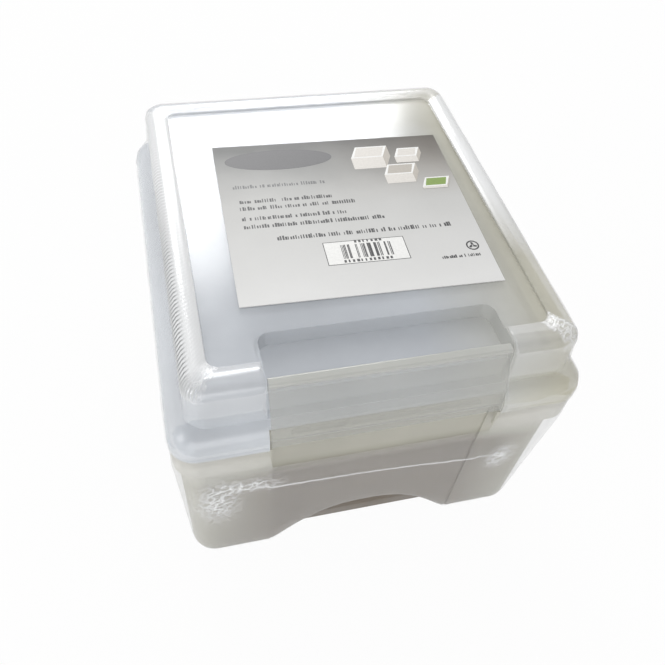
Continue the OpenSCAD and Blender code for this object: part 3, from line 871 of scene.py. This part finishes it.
class KEEPER_OT_card(bpy.types.Operator):
    """Card colours, greeked lines, badge, picture, bars and round sign"""

    bl_idname = "keeper.card"
    bl_label = "Packing card"

    def execute(self, context):
        tints, sizes = context.scene.keeper_colours, context.scene.keeper_print
        self.card(tints)
        self.ink(context, tints, sizes)
        return {"FINISHED"}

    def card(self, tints):
        mat, tree, shader = new_material("printed_card")
        coords = add(tree, "ShaderNodeTexCoord")
        axes = add(tree, "ShaderNodeSeparateXYZ")
        tree.links.new(coords.outputs["Object"], axes.inputs[0])
        cloud = noise_field(tree, coords.outputs["Object"], 26, 3)
        slide = math_node(tree, "ADD", axes.outputs["Y"],
                          span(tree, cloud, 0.3, 0.7, -0.006, 0.006))
        ramp = add(tree, "ShaderNodeValToRGB")
        stops = ramp.color_ramp.elements
        stops[0].color = (*tints.card_pale, 1)
        stops[1].color = (*tints.card_dark, 1)
        between = stops.new(0.6)
        between.color = (*tints.card_mid, 1)
        tree.links.new(span(tree, slide, -0.055, 0.053, 0, 1), ramp.inputs["Fac"])
        warm = add(tree, "ShaderNodeMix", data_type="RGBA", blend_type="MULTIPLY")
        warm.inputs["B"].default_value = (0.5, 0.43, 0.36, 1)
        corner = math_node(tree, "MULTIPLY", span(tree, axes.outputs["X"], -0.01, 0.06, 0, 1),
                           span(tree, axes.outputs["Y"], 0.0, 0.05, 0, 1))
        tree.links.new(corner, warm.inputs["Factor"])
        tree.links.new(ramp.outputs["Color"], warm.inputs["A"])
        tree.links.new(warm.outputs["Result"], shader.inputs["Base Color"])
        shader.inputs["Roughness"].default_value = 0.5
        fine = noise_field(tree, coords.outputs["Object"], 700, 3)
        bump = add(tree, "ShaderNodeBump")
        bump.inputs["Distance"].default_value = 0.00005
        tree.links.new(fine, bump.inputs["Height"])
        tree.links.new(bump.outputs["Normal"], shader.inputs["Normal"])
        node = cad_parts["packing_card"]
        node.data.materials.clear()
        node.data.materials.append(mat)

    def ink(self, context, tints, sizes):
        inks = [
            flat_ink("ink_dark", tints.ink), flat_ink("ink_badge", tints.badge),
            flat_ink("ink_white", tint("f2f2f0")), flat_ink("ink_leaf", tints.leaf),
            flat_ink("ink_shade", tint("b9b3aa")), flat_ink("ink_earth", tint("5f5a3c")),
            flat_ink("ink_pale", tint("6d6e6f")), flat_ink("ink_cream", tint("dedad4")),
        ]
        tree = block_row_tree()
        lift = sizes.lift
        parts = []

        def at(x, y, layer=0):
            return Matrix.Translation((x * MM, y * MM, layer * lift))

        rows = [
            (-52.9, -7.0, 21.0, 2.7), (-51.0, -4.4, 10.0, 2.8), (-51.4, 5.8, 5.0, 2.8),
            (-51.4, -0.6, -2.2, 2.8), (-51.2, 16.4, -7.8, 2.8), (-37.2, 47.6, -17.0, 3.0),
            (35.4, 54.8, -38.4, 2.0),
        ]
        for k, (x0, x1, y, tall) in enumerate(rows):
            pitch = sizes.pitch * (0.75 if tall < 2.5 else 1)
            strokes = grown(
                tree, Count=int((x1 - x0) * MM / pitch), Pitch=pitch, Height=tall * MM,
                Low=0.55, Narrow=0.32, Wide=0.9, Gap_chance=0.14, Lift=lift,
                Seed=sizes.seed + k, Material=inks[0],
            )
            parts.append((strokes, at(x0, y), 0 if k else 6))
        scale = Matrix.Diagonal((MM, MM, lift, 1))
        field_out = [(-19, -7.4), (19.4, -7.4), (19.4, 7.4), (-19, 7.4)]
        field_in = [(x * 0.982, y * 0.955) for x, y in field_out]
        parts.append((prism(field_in, 1), at(1.6, -28.6) @ scale, 2))
        parts.append((ring_plate(field_out, field_in, 1), at(1.6, -28.6) @ scale, 0))
        bars = grown(
            tree, Count=38, Pitch=0.62 * MM, Height=9.0 * MM, Low=0.97, Narrow=0.3, Wide=1.1,
            Gap_chance=0.28, Lift=lift, Seed=sizes.seed + 31, Material=inks[0],
        )
        parts.append((bars, at(-9.6, -32.6, 1.7), 0))
        for count, x, y, tall in ((12, -9.8, -35.0, 1.7), (7, -2.6, -22.8, 1.7)):
            digits = grown(
                tree, Count=count, Pitch=1.95 * MM, Height=tall * MM, Low=0.9, Narrow=0.3,
                Wide=0.7, Gap_chance=0.05, Lift=lift, Seed=sizes.seed + count, Material=inks[0],
            )
            parts.append((digits, at(x, y, 1.7), 0))
        parts.append((prism(ellipse(27.4, 8.0), 1), at(-27.2, 42.0) @ scale, 1))
        parts.append((ring_plate(ellipse(3.1, 3.1), ellipse(2.4, 2.4), 1),
                      at(52.2, -31.4) @ scale, 0))
        for turn in (90, 210, 330):
            blade = prism([(0.3, -0.7), (2.0, -0.4), (2.0, 0.7), (0.3, 0.4)], 1)
            parts.append((blade, at(52.2, -31.4) @ Matrix.Rotation(math.radians(turn), 4, "Z")
                          @ scale, 0))
        for k, (x, y, w, h, tall) in enumerate(
            ((10, 30, 17, 9, 9), (24, 17, 15, 8, 7), (33, 33, 12, 7, 5), (41, 11, 13, 7, 1.6))
        ):
            slant = 0.45 * h
            front = [(x, y), (x + w, y), (x + w, y + tall), (x, y + tall)]
            top = [(x, y + tall), (x + w, y + tall), (x + w + slant, y + tall + h),
                   (x + slant, y + tall + h)]
            side = [(x + w, y), (x + w + slant, y + h), (x + w + slant, y + tall + h),
                    (x + w, y + tall)]
            inner = [(x + 1.8, y + tall + 0.8), (x + w - 0.6, y + tall + 0.8),
                     (x + w + slant - 1.8, y + tall + h - 0.8),
                     (x + slant + 0.6, y + tall + h - 0.8)]
            filling = 3 if k == 3 else 4
            for j, (points, slot) in enumerate(
                ((front, 7), (top, 2), (side, 4), (inner, filling if k in (1, 3) else 7))
            ):
                parts.append((prism(points, 1), at(0, 0, 1.2 * k + 0.3 * j) @ scale, slot))
        obj = joined("card_print", parts, inks)
        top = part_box("packing_card")[1][2]
        centre = Vector((0.0048, -0.0022, top))
        obj.data.transform(Matrix.Translation(centre) @ Matrix.Rotation(math.radians(-1.5), 4, "Z"))
        place(obj, "lid")


class KEEPER_OT_film_upper(bpy.types.Operator):
    """Shrink film on the lid, open at the latch and inside the border"""

    bl_idname = "keeper.film_upper"
    bl_label = "Film on the lid"

    def execute(self, context):
        sizes, tints = context.scene.keeper_film, context.scene.keeper_colours
        mat = bpy.data.materials.get("shrink_film") or film_material(tints.film, sizes.pitch)
        g = sizes.stand / MM
        w, f, b = 92.5, -105.0, 101.5
        rings = []
        for side, front, rear, r, z in (
            (-g, -g, -g, 12.3, 104.0), (-g, -g, -g, 12.3, 107.5), (1.1, 1.1, 1.1, 11.0, 112.9),
            (3.9, 3.9, 2.2, 9.2, 116.2), (6.9, 6.0, 2.6, 9.0, 119.4), (7.7, 6.8, 3.1, 8.9, 127),
            (8.1, 7.1, 3.45, 8.8, 133.0), (8.12, 7.12, 3.47, 8.8, 135.6),
            (8.8, 7.8, 4.15, 8.2, 137.9), (10.6, 9.6, 5.9, 7.4, 139.7),
            (13.0, 12.0, 8.35, 6.2, 140.3), (18.9, 19.1, 15.4, 5.4, 140.3),
            (19.7, 19.9, 16.2, 5.0, 139.3),
        ):
            rings.append((w - side, f + front, b - rear, r, r, z))

        def push(k, x, y, z):
            lean = max(wobble(x, y, z, 0.09, 0.25), -0.1) if 0 < k < 10 else 0
            out = Vector((x, y + 10, 0)).normalized()
            return x + out.x * lean, y + out.y * lean, z

        def weight(k, x, y, z, part, share):
            # white paints the window's reflection on the border rings.
            white = {7: 0.5, 8: 0.8, 9: 0.95, 10: 1.1, 11: 1.0}.get(k, 0.0)
            # fold darkens the gathers as painted shade in the folds.
            fold = {7: 0.6, 8: 1.0, 9: 0.9, 10: 0.15}.get(k, 0.0)
            if part == "left":
                return white, fold * min(1.0, 0.2 + max(0.0, share - 0.25) * 2.2), 0.0
            if part == "corner_fl":
                return 0.9 * white * (1 - share), fold * (1 - share), 0.25 * white * share
            if part == "right":
                # On the right border the painted reflection fades toward the front.
                return white * min(1.0, max(0.0, share - 0.22) / 0.3), 0.0, 0.0
            if part == "corner_fr":
                return 0.2 * white, 0.0, 0.35 * white
            return 0.12 * white, 0.0, 0.0

        obj = film_skin("film_upper", film_columns(True), rings, False,
                        lambda z, x, part: z, push, weight, mat, sizes.thick)
        place(obj, "lid")
        return {"FINISHED"}


class KEEPER_OT_film_lower(bpy.types.Operator):
    """Shrink film on the box, stretched from the rim to the foot"""

    bl_idname = "keeper.film_lower"
    bl_label = "Film on the box"

    def execute(self, context):
        sizes, tints = context.scene.keeper_film, context.scene.keeper_colours
        mat = bpy.data.materials.get("shrink_film") or film_material(tints.film, sizes.pitch)
        g = sizes.stand / MM
        deep = sizes.crumple / MM
        rings = [(88.0, -98.4, 98.2, 12.0, 6.2, 0.6),
                 (88.2 + g, -98.5 - g, 98.3 + g, 12.3, 6.3, 3.0)]
        steps = 34
        for i in range(1, steps):
            t = i / steps
            rings.append((88.5 + 3.7 * t, -98.9 - 5.6 * t, 98.65 + 2.4 * t,
                          12.3 - 1.2 * t, 6.3 + 4.6 * t, 3 + 87 * t))
        rings += [(92.15, -104.6, 101.1, 11.6, 11.6, 91.5), (92.15, -104.6, 101.1, 11.6, 11.6, 97),
                  (92.15, -104.6, 101.1, 11.6, 11.6, 103.2)]

        def heights(z, x, part):
            if part != "front":
                return z
            arch = 28.6 * max(0.0, 1 - (abs(x) / 49.0) ** 2.5) ** 1.25
            top = 89.0
            share = min(1.0, z / 103.2)
            return arch + (top - arch) * share if abs(x) < 51 else z

        def push(k, x, y, z):
            out = Vector((x, y, 0)).normalized()
            lump = 0.0
            for cx, cz, reach, _, _ in CRUMPLES:
                if y < FRONT_Y:
                    near = math.exp(-((x - cx) ** 2 + (z - cz) ** 2) / reach ** 2)
                    lump += near * deep * abs(wobble(x, y, z, 0.35, 0.9))
            if 1 < k < steps + 1:
                lump += abs(wobble(x, y, z, 0.07, 0.35))
            return x + out.x * lump, y + out.y * lump, z

        def weight(k, x, y, z, part, share):
            near = 0.0
            if y < FRONT_Y:
                for cx, cz, _, wide, tall in CRUMPLES:
                    near += math.exp(-((x - cx) / wide) ** 2 - ((z - cz) / tall) ** 2)
            # A faint painted highlight whitens the crumpled patches.
            return 0.12 * min(1.0, near), 0.0, min(1.0, 0.9 * near)

        obj = film_skin("film_lower", film_columns(False), rings, True, heights, push, weight,
                        mat, sizes.thick)
        place(obj, "box")
        return {"FINISHED"}


class KEEPER_PT_panel(bpy.types.Panel):
    """Lists the case's operators and settings"""

    bl_idname = "KEEPER_PT_panel"
    bl_label = "Keeper case"
    bl_space_type = "VIEW_3D"
    bl_region_type = "UI"
    bl_category = "Keeper case"

    def draw(self, context):
        for group in ("colours", "plastics", "print", "film", "stage"):
            settings = getattr(context.scene, "keeper_" + group)
            for name in settings.bl_rna.properties.keys():
                if name not in ("rna_type", "name"):
                    self.layout.prop(settings, name)
        for step in STEPS:
            self.layout.operator(step.bl_idname)


GROUPS = {
    "keeper_colours": KeeperColours, "keeper_plastics": KeeperPlastics,
    "keeper_print": KeeperPrint, "keeper_film": KeeperFilm, "keeper_stage": KeeperStage,
}
STEPS = (
    KEEPER_OT_stage, KEEPER_OT_box, KEEPER_OT_lid, KEEPER_OT_latch, KEEPER_OT_cases,
    KEEPER_OT_card, KEEPER_OT_film_upper, KEEPER_OT_film_lower,
)


def register():
    for cls in (*GROUPS.values(), *STEPS, KEEPER_PT_panel):
        bpy.utils.register_class(cls)
    for name, cls in GROUPS.items():
        setattr(bpy.types.Scene, name, PointerProperty(type=cls))


def unregister():
    for name in GROUPS:
        delattr(bpy.types.Scene, name)
    for cls in reversed((*GROUPS.values(), *STEPS, KEEPER_PT_panel)):
        bpy.utils.unregister_class(cls)


def main():
    register()
    for step in STEPS:
        area, action = step.bl_idname.split(".")
        if getattr(getattr(bpy.ops, area), action)() != {"FINISHED"}:
            raise RuntimeError(step.bl_label + " wasn't finished")


if __name__ == "__main__":
    main()
